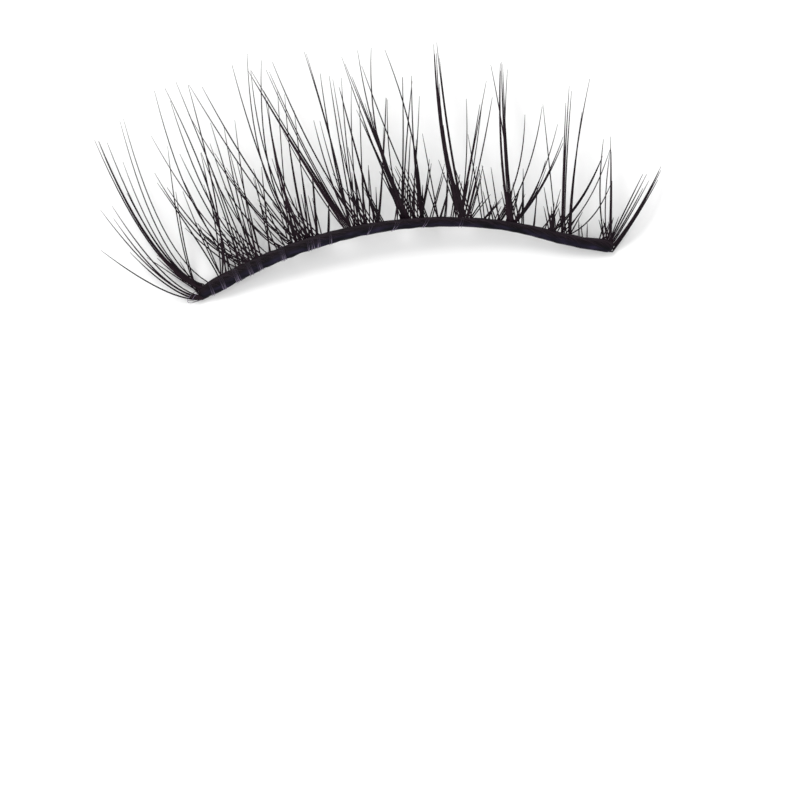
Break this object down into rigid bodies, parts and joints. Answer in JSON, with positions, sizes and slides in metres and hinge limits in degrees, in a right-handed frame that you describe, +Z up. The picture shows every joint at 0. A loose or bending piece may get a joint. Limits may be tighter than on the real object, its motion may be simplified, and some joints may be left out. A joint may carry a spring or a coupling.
{
  "type": "false eyelash strip",
  "caption": "Strip of false eyelashes for an upper lid: a curved black cotton band with knotted tufts of curled black hair in long wispy spikes and shorter crossed hairs.",
  "frame": {"origin": "middle of the strip's box, on the table that it lies on", "axes": "+X along the band's chord towards the inner corner, +Y from the band towards the lash tips, +Z up from the table"},
  "size_m": [0.0432, 0.0186, 0.0045],
  "materials": {
    "band": "black cotton thread band, glue coated, with a slight sheen along the glue edge",
    "lash_hair": "fine black hair with a purplish brown cast and a soft satin sheen"
  },
  "bodies": {
    "root": {"band": "band", "tuft_01_outer_corner": "lash_hair", "tuft_02_outer_fan": "lash_hair", "tuft_03_second_fan": "lash_hair", "tuft_04_long_spike": "lash_hair", "tuft_05_single": "lash_hair", "tuft_06_middle_spike": "lash_hair", "tuft_07_short_fork": "lash_hair", "tuft_08_tall_spike": "lash_hair", "tuft_09_crossed": "lash_hair", "tuft_10_inner_spike": "lash_hair", "tuft_11_inner_fork": "lash_hair", "tuft_12_inner_pair": "lash_hair", "tuft_13_inner_corner": "lash_hair"}
  },
  "joints": []
}
